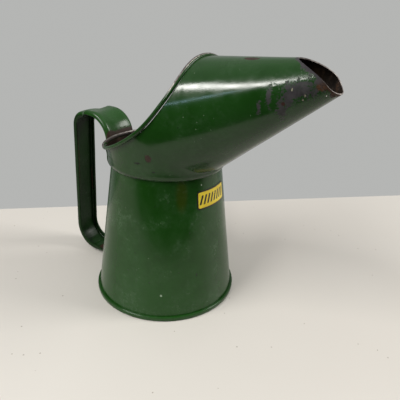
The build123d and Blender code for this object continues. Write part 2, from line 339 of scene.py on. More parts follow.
def measure(piece, name, at):
    """Stores a number at every point of a piece, from its place in millimetres."""
    store = piece.data.attributes.new(name, "FLOAT", "POINT")
    store.data.foreach_set("value", [at(v.co / MM) for v in piece.data.vertices])


def turned_piece(name, profile, turns, lift=None):
    """A skin turned about Z from (radius, height) points, listed so that its left is outside."""
    points = []
    for r, z in profile:
        for turn in turns:
            reach = r + (lift(turn, z) if lift else 0.0)
            points.append((reach * cos(turn), reach * sin(turn), z))
    piece = make_piece(name, points, grid_faces(len(profile), len(turns), ring=True))
    weld(piece)
    return piece


# --- body -------------------------------------------------------------------------
BODY_LOW_Z = 1.3         # the wall starts inside the foot seam
BODY_ROWS = 44
BODY_COLUMNS = 176
SEAM_ANGLE = 2.2 / 44    # half width of the lock seam down the rear, in radians
SEAM_PROUD = 0.42
SEAM_FOOT = (3.5, 6)     # heights over which the seam rises out of the foot
SEAM_NECK = (92.5, 95)   # and sinks again under the hood


def lock_seam(turn, z):
    """How far the folded seam stands out of the body at a turn and height."""
    from_rear = abs(abs(turn) - pi)
    across = 1 - ease(SEAM_ANGLE * 0.72, SEAM_ANGLE * 1.05, from_rear)
    return SEAM_PROUD * across * ease(*SEAM_FOOT, z) * (1 - ease(*SEAM_NECK, z))


def make_body():
    plain = pi - SEAM_ANGLE * 1.6
    turns = [between(-plain, plain, k / BODY_COLUMNS) for k in range(BODY_COLUMNS + 1)]
    turns += [pi + SEAM_ANGLE * (k - 3) / 2.2 for k in range(7)]
    heights = [BODY_LOW_Z + (BODY_TOP_Z - BODY_LOW_Z) * k / BODY_ROWS for k in range(BODY_ROWS + 1)]
    body = turned_piece("body_wall", [(body_radius(z), z) for z in heights], turns, lock_seam)
    uneven(body, 0.10, 34, 3.0)
    thicken(body, SHEET, 1, 1)
    return body


FOOT_INNER_R = 47.4      # inside of the rolled seam, under the can
FOOT_LIFT = 0.02         # keeps the seam's underside just off the table
FOOT_COLUMNS = 168
OILY_Z = 2.9             # faces above this and within the next radius are inside the can
OILY_R = 47.9


def make_foot():
    """Bottom disc and the seam rolled over the body's edge, as one turned skin of real gauge."""
    hook_r = body_radius(FOOT_H) + 0.02
    corners = [(0, BASE_RECESS), (FOOT_INNER_R, BASE_RECESS), (FOOT_INNER_R, FOOT_LIFT)]
    corners += [(FOOT_R, FOOT_LIFT), (FOOT_R, FOOT_H)]
    corners += [(hook_r, FOOT_H), (hook_r + 0.1, FOOT_H - SHEET), (FOOT_R - SHEET, FOOT_H - SHEET)]
    corners += [(FOOT_R - SHEET, SHEET), (FOOT_INNER_R + SHEET, SHEET)]
    corners += [(FOOT_INNER_R + SHEET, FOOT_H), (0, FOOT_H)]
    radii = [0.4, 0.9, 0.8, 0.7, 0.12, 0.12, 0.2, 0.3, 0.3, 0.5]
    profile = [(max(p.x, 0.0), p.y) for p in rounded_line(corners, radii, 1.6)]
    turns = [2 * pi * k / FOOT_COLUMNS for k in range(FOOT_COLUMNS)]
    foot = turned_piece("foot_and_bottom", profile, turns)
    empty_slots(foot, 2)
    for face in foot.data.polygons:
        middle = face.center
        if middle.z > OILY_Z * MM and hypot(middle.x, middle.y) < OILY_R * MM:
            face.material_index = 1
    return foot


# --- hood and spout ---------------------------------------------------------------
HOOD_HALF_COLUMNS = 84
NECK_ROWS = 5            # whole rings below the fill opening
OPEN_ROWS = 80           # rows that the fill opening cuts
SPOUT_ROWS = 46
PAINTED_X = 70.0         # only the pouring lip beyond this is a raw cut edge
WORN_X = 55.0            # wear is measured from the lip back to here
FAR_FROM_LIP = 60.0


def make_hood():
    """Collar, hood and spout as one skin, open at the fill opening and at the pouring lip."""
    shares = [j / HOOD_HALF_COLUMNS for j in range(-HOOD_HALF_COLUMNS, HOOD_HALF_COLUMNS + 1)]
    top_angle = fan_angle(*RIM.at(1.0)[0])
    rows = [[(r * cos(pi * s), r * sin(pi * s), z) for s in shares] for r, z in COLLAR]
    for k in range(NECK_ROWS):
        rows.append([hood_point(RIM_REAR_ANGLE * k / NECK_ROWS, pi * s) for s in shares])
    for k in range(OPEN_ROWS + 1):
        angle = between(RIM_REAR_ANGLE, top_angle, (1 - cos(pi * k / OPEN_ROWS)) / 2)
        limit = pi if k in (0, OPEN_ROWS) else rim_turn(angle)
        rows.append([hood_point(angle, limit * s) for s in shares])
    apex = Vector((APEX_X, 0, APEX_Z))
    starts = [hood_point(top_angle, pi * s) for s in shares]
    ends = [lip_share(start) for start in starts]
    for k in range(1, SPOUT_ROWS + 1):
        rows.append([start.lerp(apex, end * k / SPOUT_ROWS) for start, end in zip(starts, ends)])
    points = [p for row in rows for p in row]
    hood = make_piece("hood_and_spout", points, grid_faces(len(rows), len(shares)))
    weld(hood)
    uneven(hood, 0.13, 27, 11.0)
    thicken(hood, SHEET)
    for face in hood.data.polygons:
        if face.material_index == 2 and face.center.x < PAINTED_X * MM:
            face.material_index = 0
    lip = [start.lerp(apex, end) for start, end in zip(starts, ends)]

    def from_lip(p):
        return min((p - q).length for q in lip[::3]) if p.x > WORN_X else FAR_FROM_LIP

    measure(hood, "from_lip", from_lip)
    return hood


ROLL_FULL = 0.88         # shares of the curl's drawn radius: along the sides,
ROLL_REAR_LOSS = 0.24    # less at the rear
ROLL_TOP_LOSS = 0.28     # and less at the hood's top
ROLL_STEPS = 96
ROLL_SIDES = 20
GRIMY_X = -33.5          # the rear of the roll, forward to here, has lost its paint
GRIMY_Z = 112.0


def roll_radius(share):
    """The rolled edge is pressed flatter at its rear and at its top."""
    rear = ROLL_REAR_LOSS * (1 - ease(0.0, 0.3, share))
    top = ROLL_TOP_LOSS * ease(0.72, 1.0, share)
    return CURL_R * (ROLL_FULL - rear - top)


def curl_ring(share):
    """Centre of the rolled edge at a share of its length, on the +Y side."""
    radius = roll_radius(share)
    (x, z), run = RIM.at(share)
    x -= run[1] * radius
    z += run[0] * radius
    angle = fan_angle(x, z)
    centre, along, across = hood_ellipse(angle)
    u = min(1.0, (hypot(FOLD_X - x, z - FOLD_Z) - centre) / along)
    v = sqrt(max(0.0, 1 - u * u))
    normal = hypot(u / along, v / across)
    out = radius - SHEET
    reach = centre + along * u + out * u / along / normal
    y = across * v + out * v / across / normal
    return Vector((FOLD_X - reach * cos(angle), y, FOLD_Z + reach * sin(angle)))


def make_rim_roll():
    shares = [(1 - cos(pi * k / ROLL_STEPS)) / 2 for k in range(ROLL_STEPS + 1)]
    half = [curl_ring(share) for share in shares]
    half[0].y = half[-1].y = 0
    path = half + [Vector((p.x, -p.y, p.z)) for p in reversed(half[1:-1])]
    radii = [roll_radius(share) for share in shares]
    radii += radii[-2:0:-1]
    points = []
    for k, at in enumerate(path):
        run = (path[(k + 1) % len(path)] - path[k - 1]).normalized()
        side = run.cross(Vector((0.6, 0, 0.8))).normalized()
        up = side.cross(run)
        for j in range(ROLL_SIDES):
            turn = 2 * pi * j / ROLL_SIDES
            points.append(at + (side * cos(turn) + up * sin(turn)) * radii[k])
    faces = grid_faces(len(path), ROLL_SIDES, ring=True)
    last = (len(path) - 1) * ROLL_SIDES
    for j in range(ROLL_SIDES):
        k = (j + 1) % ROLL_SIDES
        faces.append((last + j, last + k, k, j))
    roll = make_piece("rim_roll", points, faces)
    weld(roll, outward=True)
    uneven(roll, 0.08, 9, 5.0)
    empty_slots(roll, 2)
    for face in roll.data.polygons:
        at = face.center / MM
        face.material_index = int(at.x + 4 * noise.noise(at * 0.6) < GRIMY_X and at.z < GRIMY_Z)
    return roll


# --- handle -----------------------------------------------------------------------
UPPER_HALF_Z = 60        # splits the strap into its upper and lower halves
WIDENING = (-75, -67.5)  # x over which the narrow grip widens into the arch
ARCH_FLANGE = 3.1
ARCH_SHALLOWS = (-84, -64)
FOOT_FLANGE = 1.35
FOOT_SHALLOWS = (-70, -57)
STRAP_SHARP = 40
GRIP_DIP = 3.0           # the grip's rear top corner is pressed lower than the arch
DIP_HEIGHTS = (70, 100)
DIP_ENDS = (-74, -66.5)
PINCH_STARTS = (-88, -80)   # pressed ripples in the bottom bend lie between these
PINCH_ENDS = (-66, -60)
PINCH_Z = 20
PINCH_DEPTH = 0.35
PINCH_TURNS = 1.15       # radians of ripple per millimetre


def strap_half_width(at):
    if at.y < UPPER_HALF_Z:
        return GRIP_HALF
    return between(GRIP_HALF, ARCH_HALF, ease(*WIDENING, at.x))


def strap_depth(at):
    """How deep the turned edges are along the strap, shallower towards both of its ends."""
    if at.y > UPPER_HALF_Z:
        return between(FLANGE, ARCH_FLANGE, ease(*ARCH_SHALLOWS, at.x))
    return between(FLANGE, FOOT_FLANGE, ease(*FOOT_SHALLOWS, at.x))


def strap_section(half, depth):
    """Closed outline of the pressed strap, as (across, depth below its back).

    The grip's back is slightly domed. The wide arch has a raised shoulder each side of a
    shallow valley.
    """
    widened = (half - GRIP_HALF) / (ARCH_HALF - GRIP_HALF)
    crown = between(0.45, -0.95, widened)
    corner = min(between(2.1, 2.7, widened), depth - 0.15)
    bends = [k / 5 * pi / 2 for k in range(6)]
    flat = half - corner
    outer = [(-half, depth - 0.3)]
    outer += [(-flat - corner * cos(a), corner - corner * sin(a)) for a in bends]
    outer += [(flat * s, crown * (s * s - 1)) for s in (-0.75, -0.5, -0.25, 0.0)]
    outer += [(-y, d) for y, d in reversed(outer[:-1])]
    tight = max(corner - STRAP, 0.12)
    bead = 0.35
    neck = 1.0 if depth > 2.6 else 0.5
    inner = [(-half + STRAP + bead, depth - 0.35), (-half + STRAP + 0.05, depth - neck)]
    inner += [(-flat - tight * cos(a), STRAP + tight - tight * sin(a)) for a in bends[1:]]
    inner += [(flat * s, STRAP + crown * (s * s - 1)) for s in (-0.6, -0.3, 0.0)]
    inner += [(-y, d) for y, d in reversed(inner[:-1])]
    tip = [(-half + 0.18, depth + 0.02), (-half + 0.6, depth + 0.12), (-half + STRAP + 0.1, depth)]
    return tip[::-1] + outer + [(-y, d) for y, d in tip] + inner[::-1]


def strap_ripple(at):
    """Depth of the ripples pressed into the strap's back at its bottom bend."""
    if at.y >= PINCH_Z:
        return 0.0
    bend = ease(*PINCH_STARTS, at.x) * (1 - ease(*PINCH_ENDS, at.x))
    return PINCH_DEPTH * bend * sin(at.x * PINCH_TURNS)


def strap_slots(path, around, count):
    """Which of the strap's faces take the darker enamel of painted shade, inside the channel and on its
    turned edges, in the order that they are made.
    """
    slots = []
    for k in range(count):
        at, j = path[k // around], k % around
        # Painted shade: these faces take the darker channel enamel, and along the grip and bottom bend
        # it reaches further round the turned edge.
        gripped = at.x < -80 or at.y < PINCH_Z
        slots.append(int(j <= (6 if gripped else 3) or j >= 22))
    return slots


def make_handle():
    path = rounded_line(HANDLE_CORNERS, HANDLE_RADII, 1.5)
    points = []
    for k, at in enumerate(path):
        run = (path[min(k + 1, len(path) - 1)] - path[max(k - 1, 0)]).normalized()
        inward = Vector((-run.y, run.x))
        if at.y > UPPER_HALF_Z:
            dip = GRIP_DIP * ease(*DIP_HEIGHTS, at.y) * (1 - ease(*DIP_ENDS, at.x))
            at = Vector((at.x, at.y - dip))
        wave = strap_ripple(at)
        for y, depth in strap_section(strap_half_width(at), strap_depth(at)):
            on_back = abs(y) < 7.0 and 0.3 < depth < 1.3
            ripple = wave * (1 - (y / GRIP_HALF) ** 2) if on_back else 0.0
            spot = at + inward * (depth + ripple)
            points.append((spot.x, y, spot.y))
    around = len(points) // len(path)
    faces = grid_faces(len(path), around, ring=True)
    slots = strap_slots(path, around, len(faces)) + [0, 0]
    faces += [tuple(range(around))[::-1], tuple(len(points) - around + j for j in range(around))]
    handle = make_piece("strap_handle", points, faces, STRAP_SHARP)
    empty_slots(handle, 2)
    handle.data.polygons.foreach_set("material_index", slots)
    weld(handle, outward=True, sharp=STRAP_SHARP)
    uneven(handle, 0.10, 14, 21.0)
    return handle


# --- label and solder -------------------------------------------------------------
LABEL_Z = (LABEL_LOW + LABEL_HIGH) / 2
LABEL_TALL = (LABEL_HIGH - LABEL_LOW) / 2
LABEL_WIDE = body_radius(LABEL_Z) * LABEL_HALF_ANGLE
LABEL_ROWS = 25
LABEL_COLUMNS = 49
LABEL_PROUD = 0.18
LABEL_GAUGE = 0.14
SOLDER_SIDES = 12
SOLDER_SHARP = 60


def make_label():
    points = []
    for i in range(LABEL_ROWS):
        z = -LABEL_TALL * cos(pi * i / (LABEL_ROWS - 1))
        over = max(0.0, abs(z) - (LABEL_TALL - LABEL_CORNER))
        half = LABEL_WIDE - LABEL_CORNER + sqrt(max(0.0, LABEL_CORNER ** 2 - over ** 2))
        for j in range(LABEL_COLUMNS):
            turn = half * (2 * j / (LABEL_COLUMNS - 1) - 1) / body_radius(LABEL_Z)
            r = body_radius(LABEL_Z + z) + LABEL_PROUD
            points.append((r * cos(turn), r * sin(turn), LABEL_Z + z))
    label = make_piece("front_label_plate", points, grid_faces(LABEL_ROWS, LABEL_COLUMNS))
    thicken(label, LABEL_GAUGE, 0, 0)
    measure(label, "label_across", lambda p: atan2(p.y, p.x) * body_radius(LABEL_Z) / LABEL_WIDE)
    measure(label, "label_up", lambda p: (p.z - LABEL_Z) / LABEL_TALL)
    return label


def solder_bead(name, path, widths):
    """A lumpy run of solder along a line."""
    points = []
    for k, (at, wide) in enumerate(zip(path, widths)):
        run = (path[min(k + 1, len(path) - 1)] - path[max(k - 1, 0)]).normalized()
        side = run.cross(Vector((0.1, 0.05, 1))).normalized()
        up = side.cross(run)
        for j in range(SOLDER_SIDES):
            turn = 2 * pi * j / SOLDER_SIDES
            lump = 1 + 0.16 * noise.noise(Vector((k * 0.45, j * 0.5, len(path))))
            points.append(at + (side * cos(turn) + up * sin(turn)) * wide * lump)
    faces = grid_faces(len(path), SOLDER_SIDES, ring=True)
    faces.append(tuple(range(SOLDER_SIDES))[::-1])
    faces.append(tuple(len(points) - SOLDER_SIDES + j for j in range(SOLDER_SIDES)))
    bead = make_piece(name, points, faces, SOLDER_SHARP)
    weld(bead, outward=True, sharp=SOLDER_SHARP)
    return bead


def make_upper_solder():
    """Between the strap and the hood's rear, just under the rolled edge."""
    count, half, joint_r, level = 21, 10.5, 41.2, 103.2
    path, widths = [], []
    for k in range(count):
        y = between(-half, half, k / (count - 1))
        x = -sqrt(joint_r ** 2 - y * y)
        wander = 0.3 * noise.noise(Vector((y * 0.4, 2, 0)))
        path.append(Vector((x - 0.35, y, level + wander)))
        widths.append(0.35 + 0.75 * sqrt(max(0.0, 1 - (y / (half + 0.1)) ** 2)))
    return solder_bead("upper_solder_run", path, widths)


def make_lower_solder():
    """Between the strap's foot and the rear of the body."""
    count, half, level = 19, 9.2, 14.4
    joint_r = body_radius(14.2) + 0.25
    path, widths = [], []
    for k in range(count):
        y = between(-half, half, k / (count - 1))
        wander = 0.3 * noise.noise(Vector((y * 0.5, 7, 0)))
        path.append(Vector((-sqrt(joint_r * joint_r - y * y), y, level + wander)))
        widths.append(0.3 + 0.6 * sqrt(max(0.0, 1 - (y / (half + 0.1)) ** 2)))
    return solder_bead("lower_solder_run", path, widths)


# --- finishes ---------------------------------------------------------------------
class Amount:
    """A value that varies over a surface; arithmetic on it adds Math nodes."""

    def __init__(self, finish, socket):
        self.finish = finish
        self.socket = socket

    def sum_with(self, operation, first, second):
        return self.finish.node("ShaderNodeMath", {"operation": operation}, {0: first, 1: second})

    def __add__(self, other):
        return self.sum_with("ADD", self, other)

    __radd__ = __add__

    def __sub__(self, other):
        return self.sum_with("SUBTRACT", self, other)

    def __rsub__(self, other):
        return self.sum_with("SUBTRACT", other, self)

    def __mul__(self, other):
        return self.sum_with("MULTIPLY", self, other)

    __rmul__ = __mul__

    def __truediv__(self, other):
        return self.sum_with("DIVIDE", self, other)

    def __gt__(self, other):
        return self.sum_with("GREATER_THAN", self, other)

    def __lt__(self, other):
        return self.sum_with("LESS_THAN", self, other)

    def or_more(self, other):
        return self.sum_with("MAXIMUM", self, other)

    def size(self):
        return self.sum_with("ABSOLUTE", self, 0.0)


class Finish:
    """One procedural surface finish, or the room's light when made for a world."""

    def __init__(self, name, world=False, **constants):
        self.material = (bpy.data.worlds if world else bpy.data.materials).new(name)
        self.material.use_nodes = True
        self.tree = self.material.node_tree
        self.shader = self.tree.nodes["Background" if world else "Principled BSDF"]
        for socket, value in constants.items():
            self.shader.inputs[socket.replace("_", " ")].default_value = value
        self.place = self.node("ShaderNodeTexCoord", output="Generated" if world else "Object")

    def node(self, kind, settings=None, inputs=None, output=0):
        made = self.tree.nodes.new(kind)
        for key, value in (settings or {}).items():
            if key == "stops":
                ramp = made.color_ramp.elements
                while len(ramp) < len(value):
                    ramp.new(0.5)
                for stop, (at, colour) in zip(ramp, value):
                    stop.position = at
                    stop.color = colour
            else:
                setattr(made, key, value)
        for key, value in (inputs or {}).items():
            self.feed(made.inputs[key], value)
        return Amount(self, made.outputs[output])

    def feed(self, socket, value):
        if isinstance(value, Amount):
            self.tree.links.new(value.socket, socket)
        elif hasattr(socket.default_value, "__len__"):
            socket.default_value = [*value, 1.0][: len(socket.default_value)]
        else:
            socket.default_value = value

    def paint(self, **inputs):
        for socket, value in inputs.items():
            self.feed(self.shader.inputs[socket.replace("_", " ")], value)
        return self

    def stretched(self, x, y, z):
        """Place on the object with its axes scaled, in metres times the scale."""
        return self.vector("MULTIPLY", self.place, (x, y, z))

    def grain(self, scale, detail=4.0, rough=0.55, at=None, warp=0.0):
        """Cloudy variation around 0.5; scale is in blotches per metre."""
        inputs = {"Vector": at or self.place, "Scale": scale, "Detail": detail}
        inputs.update({"Roughness": rough, "Distortion": warp})
        return self.node("ShaderNodeTexNoise", None, inputs)

    def specks(self, scale, at=None):
        """Distance to the nearest of many scattered points, in cells."""
        inputs = {"Vector": at or self.place, "Scale": scale}
        return self.node("ShaderNodeTexVoronoi", None, inputs, "Distance")

    def step(self, value, low, high, first=0.0, last=1.0):
        """Smooth step from first, where value is at low, to last, where it is at high."""
        settings = {"interpolation_type": "SMOOTHSTEP"}
        inputs = {"Value": value, 1: low, 2: high, 3: first, 4: last}
        return self.node("ShaderNodeMapRange", settings, inputs)

    def vector(self, operation, first, second=(0, 0, 0), output=0):
        inputs = {0: first, 1: second}
        return self.node("ShaderNodeVectorMath", {"operation": operation}, inputs, output)

    def spot(self, centre, reach, ragged, stretch=(1, 1, 1), soft=0.08):
        """1 inside a ragged spot about a point in millimetres, and 0 outside."""
        middle = tuple(c * MM for c in centre)
        scale = tuple(1 / (reach * MM * s) for s in stretch)
        away = self.vector("MULTIPLY", self.vector("SUBTRACT", self.place, middle), scale)
        far = self.vector("LENGTH", away, output="Value")
        return self.step(far + ragged, 1 + soft, 1 - soft)

    def mix(self, amount, first, second):
        return self.node("ShaderNodeMix", {"data_type": "RGBA"}, {0: amount, 6: first, 7: second}, 2)

    def bump(self, height, strength, distance):
        inputs = {"Height": height, "Strength": strength, "Distance": distance * MM}
        return self.node("ShaderNodeBump", None, inputs)

    def stored(self, name):
        return self.node("ShaderNodeAttribute", {"attribute_name": name}, None, "Fac")


def times(colour, amount):
    return tuple(c * amount for c in colour)


GREEN_DEEP = (0.0072, 0.046, 0.0032)
GREEN_LIT = (0.0125, 0.064, 0.0080)
GREEN_WORN = (0.040, 0.092, 0.036)
GREEN_OLIVE_STREAK = (0.032, 0.052, 0.0025)
BARE_STEEL = (0.034, 0.030, 0.034)
RUST_DARK = (0.026, 0.014, 0.008)
RUST_RED = (0.075, 0.032, 0.014)
PALE_CHIP = (0.42, 0.50, 0.38)
SPATTER = (0.010, 0.012, 0.008)
LABEL_INK = (0.012, 0.013, 0.010)
TABLE_DOT = (0.20, 0.15, 0.10)
LIP_RUST_AT = (107.5, 0, 157.0)


class Coat:
    """Enamel as it ages: its colour so far, and where it has come away."""

    def __init__(self, finish, colour):
        self.finish = finish
        self.colour = colour
        self.gone = None

    def tint(self, amount, shade):
        self.colour = self.finish.mix(amount, self.colour, shade)

    def lose(self, where, shade, cover=1.0):
        """Shows what is under the coat where it has gone, and lays on the hood's one painted glint the
        same way; cover is how fully.
        """
        self.tint(where * cover if cover < 1 else where, shade)
        self.gone = where if self.gone is None else self.gone.or_more(where)


def scatter_dots(f, coat):
    """Small dark spatters and pale dust, each only in some areas."""
    spatter = f.specks(150.0) < 0.055
    coat.tint(spatter * (f.grain(40.0) > 0.52) * 0.8, SPATTER)
    dust = f.specks(310.0, f.stretched(1.0, 1.3, 0.8)) < 0.05
    coat.tint(dust * (f.grain(60.0, 2.0) > 0.56) * 0.7, PALE_CHIP)


def wear_lip(f, coat, metal, torn, fine):
    """Takes the enamel off near the pouring lip, with a rusty patch low on its edge."""
    lip = f.stored("from_lip")
    patches = f.grain(110.0, 8.0, 0.68, warp=0.8)
    gone = f.step(patches * 20.0 + torn * 0.8 - lip, 8.2, 9.2)
    gone = gone.or_more(f.step(lip + torn * 0.5, 1.6, 0.9))
    rusty = f.step(f.grain(120.0, 6.0, 0.65) * 9.0 - lip, 1.2, 2.6)
    rusty = rusty * f.spot(LIP_RUST_AT, 15.0, 0.0, (0.75, 1, 0.5), 0.3)
    coat.lose(gone, f.mix(rusty, metal, f.mix(f.step(fine, 0.3, 0.7), RUST_DARK, RUST_RED)))
    pits = f.step(f.specks(260.0), 0.30, 0.12) * f.step(f.grain(150.0, 4.0, 0.6), 0.46, 0.60)
    return gone, pits * f.step(lip, 50.0, 14.0)


def enamel(name, rust_spots=(), pale_spots=(), olive_streaks=(), bare=(), lip_wear=False,
           tone=1.0, gloss=0.16, ior=1.40, hazy=0.6):
    """Glossy green stoving enamel with age, chips and dust."""
    f = Finish(name, IOR=ior)
    clouds = f.grain(16.0, 3.0, 0.5)
    mottle = f.grain(120.0, 5.0, 0.6)
    fine = f.grain(1400.0, 3.0, 0.5)
    tones = f.step(clouds * 0.7 + mottle * 0.3, 0.38, 0.62)
    coat = Coat(f, f.mix(tones, times(GREEN_DEEP, tone), times(GREEN_LIT, tone)))
    haze = f.step(f.grain(62.0, 7.0, 0.68, warp=0.3), 0.44, 0.76)
    haze = haze * f.step(f.grain(420.0, 4.0, 0.6), 0.30, 0.68)
    coat.tint(haze * hazy, times(GREEN_WORN, tone))
    rough = f.step(mottle, 0.3, 0.7, gloss * 0.8, gloss * 1.3) + haze * 0.10
    relief = mottle * 0.5 + fine * 0.12
    scatter_dots(f, coat)
    # Olive-tinted streaks, laid on through a soft ragged mask.
    for centre, reach, stretch, amount in olive_streaks:
        coat.tint(f.spot(centre, reach, (clouds - 0.5) * 1.5, stretch, 0.5) * amount, GREEN_OLIVE_STREAK)
    ragged = (f.grain(900.0, 3.0, 0.6) - 0.5) * 1.3
    torn = (f.grain(300.0, 8.0, 0.75, warp=0.9) - 0.5) * 4.6
    torn = torn + (f.grain(1000.0, 4.0, 0.7) - 0.5) * 3.0
    metal = f.mix(f.step(f.grain(260.0, 5.0, 0.6), 0.4, 0.62), BARE_STEEL, times(BARE_STEEL, 1.6))
    for centre, reach, stretch in bare:
        coat.lose(f.spot(centre, reach, torn, stretch, 0.30), metal, 0.92)
    for centre, reach, stretch, shade in rust_spots:
        rust = f.mix(f.step(fine, 0.35, 0.65), shade, times(shade, 1.7))
        coat.lose(f.spot(centre, reach, ragged, stretch), rust)
    # Pale chips; on the hood, one near-white dot among them is a painted glint.
    for centre, reach, stretch, shade in pale_spots:
        coat.lose(f.spot(centre, reach, ragged, stretch), shade)
    if lip_wear:
        gone, pits = wear_lip(f, coat, metal, torn, fine)
        rough = rough + gone * 0.22
        relief = relief - pits * 1.4
    if coat.gone is not None:
        rough = rough + coat.gone * 0.35
        relief = relief - coat.gone * 1.6
    f.paint(Base_Color=coat.colour, Roughness=rough, Normal=f.bump(relief, 0.22, 0.12))
    return f.material


def rusty_inside(name):
    """Oil-stained, rusting bare sheet, streaked downwards."""
    f = Finish(name, IOR=1.5)
    runs = f.grain(60.0, 5.0, 0.6, at=f.stretched(1, 1, 0.16), warp=0.4)
    blots = f.grain(90.0, 7.0, 0.66, warp=0.7)
    fine = f.grain(1100.0, 4.0, 0.6)
    colour = f.mix(f.step(runs, 0.36, 0.64), (0.009, 0.006, 0.004), (0.038, 0.021, 0.011))
    colour = f.mix(f.step(blots, 0.52, 0.70), colour, (0.070, 0.030, 0.013))
    colour = f.mix(f.step(blots * 0.5 + fine * 0.5, 0.60, 0.70), colour, (0.10, 0.075, 0.055))
    rough = f.step(runs * 0.6 + fine * 0.4, 0.35, 0.65, 0.34, 0.62)
    f.paint(Base_Color=colour, Roughness=rough, Metallic=f.step(blots, 0.62, 0.44) * 0.45)
    f.paint(Normal=f.bump(blots * 0.6 + fine * 0.4, 0.4, 0.25))
    return f.material


def bare_metal(name, dark, light, metallic, rough, scale=400.0):
    """Dull metal or compound with a fine cloudy grain."""
    f = Finish(name)
    cloud = f.grain(scale, 6.0, 0.6, warp=0.3)
    fine = f.grain(scale * 5, 3.0, 0.5)
    colour = f.mix(f.step(cloud, 0.36, 0.64), dark, light)
    f.paint(Base_Color=colour, Roughness=f.step(fine, 0.3, 0.7, rough * 0.8, rough * 1.25))
    f.paint(Metallic=f.step(cloud, 0.2, 0.6, metallic * 0.7, metallic))
    f.paint(Normal=f.bump(cloud * 0.7 + fine * 0.3, 0.35, 0.1))
    return f.material


BORDER = 1.0             # black border of the label
BAR_PITCH = 3.1
BAR_HALF = 3.1           # half height of the bars
BAR_ROW_HALF = 12.4


def label_print(name):
    """Yellow printed label: a thin black border and a plain row of slanting bars."""
    f = Finish(name, IOR=1.45)
    across = f.stored("label_across")
    up = f.stored("label_up")
    x = across.size() * LABEL_WIDE
    z = up.size() * LABEL_TALL
    corner_x = (x - (LABEL_WIDE - LABEL_CORNER)).or_more(0.0)
    corner_z = (z - (LABEL_TALL - LABEL_CORNER)).or_more(0.0)
    square = corner_x * corner_x + corner_z * corner_z
    corner = f.node("ShaderNodeMath", {"operation": "SQRT"}, {0: square})
    border = f.step(corner, LABEL_CORNER - BORDER, LABEL_CORNER - BORDER + 0.1)
    slanted = across * LABEL_WIDE - up * (LABEL_TALL * 0.36)
    phase = f.node("ShaderNodeMath", {"operation": "FRACT"}, {0: slanted / BAR_PITCH + 50.0})
    bars = f.step(phase, 0.20, 0.24) * f.step(phase, 0.74, 0.70)
    bars = bars * f.step(z, BAR_HALF, BAR_HALF - 0.15)
    bars = bars * f.step(slanted.size(), BAR_ROW_HALF, BAR_ROW_HALF - 0.1)
    wear = f.grain(900.0, 5.0, 0.6)
    faded = f.step(f.grain(140.0, 5.0, 0.6), 0.35, 0.65)
    yellow = f.mix(faded, (0.78, 0.57, 0.022), (0.90, 0.71, 0.045))
    ink = border.or_more(bars) * f.step(wear, 0.24, 0.34)
    f.paint(Base_Color=f.mix(ink, yellow, LABEL_INK))
    f.paint(Roughness=f.step(wear, 0.3, 0.7, 0.24, 0.38), Normal=f.bump(wear, 0.15, 0.05))
    return f.material


def table_top(name):
    """Pale laminate with a few dark specks."""
    f = Finish(name)
    cloud = f.grain(2.2, 4.0, 0.5)
    colour = f.mix(f.step(cloud, 0.3, 0.7), (0.655, 0.62, 0.57), (0.70, 0.67, 0.62))
    dots = (f.specks(110.0) < 0.06) * (f.grain(30.0, 2.0) > 0.53)
    f.paint(Base_Color=f.mix(dots * 0.55, colour, TABLE_DOT))
    f.paint(Roughness=f.step(cloud, 0.3, 0.7, 0.42, 0.52), Normal=f.bump(f.grain(900.0), 0.15, 0.1))
    return f.material


# --- chips, stains, an olive streak and a painted glint ---------------------------
# (centre, radius, stretch, colour or strength), on the can's own surface
BROWN = (0.026, 0.014, 0.008)
DARK = (0.006, 0.011, 0.005)
HOOD_RUST = [
    ((17.3, -37.8, 110.5), 1.9, (1.0, 1, 1.25), BROWN),
    ((10.1, -39.5, 106.5), 0.8, (3.0, 1, 0.9), DARK),
    ((19.3, -35.3, 102.0), 0.55, (2.4, 1, 0.7), DARK),
    ((61.9, -5.5, 168.4), 2.0, (2.4, 1.1, 0.8), BROWN),
    ((87.1, -15.3, 150.0), 0.9, (1.2, 1, 1), (0.026, 0.007, 0.004)),
    ((103.2, -9.8, 159.8), 2.3, (1.0, 1.3, 0.9), (0.055, 0.026, 0.012)),
]
HOOD_PALE_CHIPS_AND_GLINT = [
    ((90.5, -14.5, 157.2), 0.30, (0.9, 1, 2.6), (0.42, 0.38, 0.28)),
    ((96.6, -12.2, 154.9), 0.30, (0.9, 1, 2.2), (0.40, 0.36, 0.26)),
    ((95.8, -12.0, 152.8), 0.28, (2.0, 1, 1.0), (0.40, 0.36, 0.26)),
    # A near-white dot on the lip: a painted glint.
    ((105.4, -7.3, 155.5), 0.42, (1, 1, 1), (0.75, 0.74, 0.70)),
    ((33.0, -6.0, 167.0), 0.35, (1, 1, 1), (0.50, 0.52, 0.45)),
]
HOOD_BARE = [
    ((95.5, -13.4, 157.6), 5.6, (1.35, 1.6, 0.85)),
    ((89.5, -15.0, 154.2), 3.4, (0.9, 1.6, 1.2)),
    ((86.5, -15.4, 147.5), 3.0, (0.7, 1.6, 1.9)),
    ((80.0, -17.0, 152.0), 2.2, (0.6, 1.6, 2.2)),
    ((76.0, -18.5, 147.0), 1.6, (0.6, 1.6, 2.0)),
]
BODY_RUST = [
    ((41.8, -18.5, 30.5), 0.42, (1, 1, 3.6), DARK),
    ((20.4, -41.4, 27.1), 0.45, (1.6, 1, 1), DARK),
    ((35.0, -28.7, 34.5), 0.38, (1, 1, 1), DARK),
    ((36.5, -20.3, 61.1), 0.38, (1, 1, 1), DARK),
    ((5.3, -45.2, 32.6), 0.45, (1, 1, 1), DARK),
]
BODY_PALE = [
    ((36.6, -10.0, 90.9), 0.38, (1, 1, 1), (0.55, 0.62, 0.50)),
    ((28.0, -38.2, 18.4), 0.75, (1, 1, 1), (0.30, 0.40, 0.28)),
]
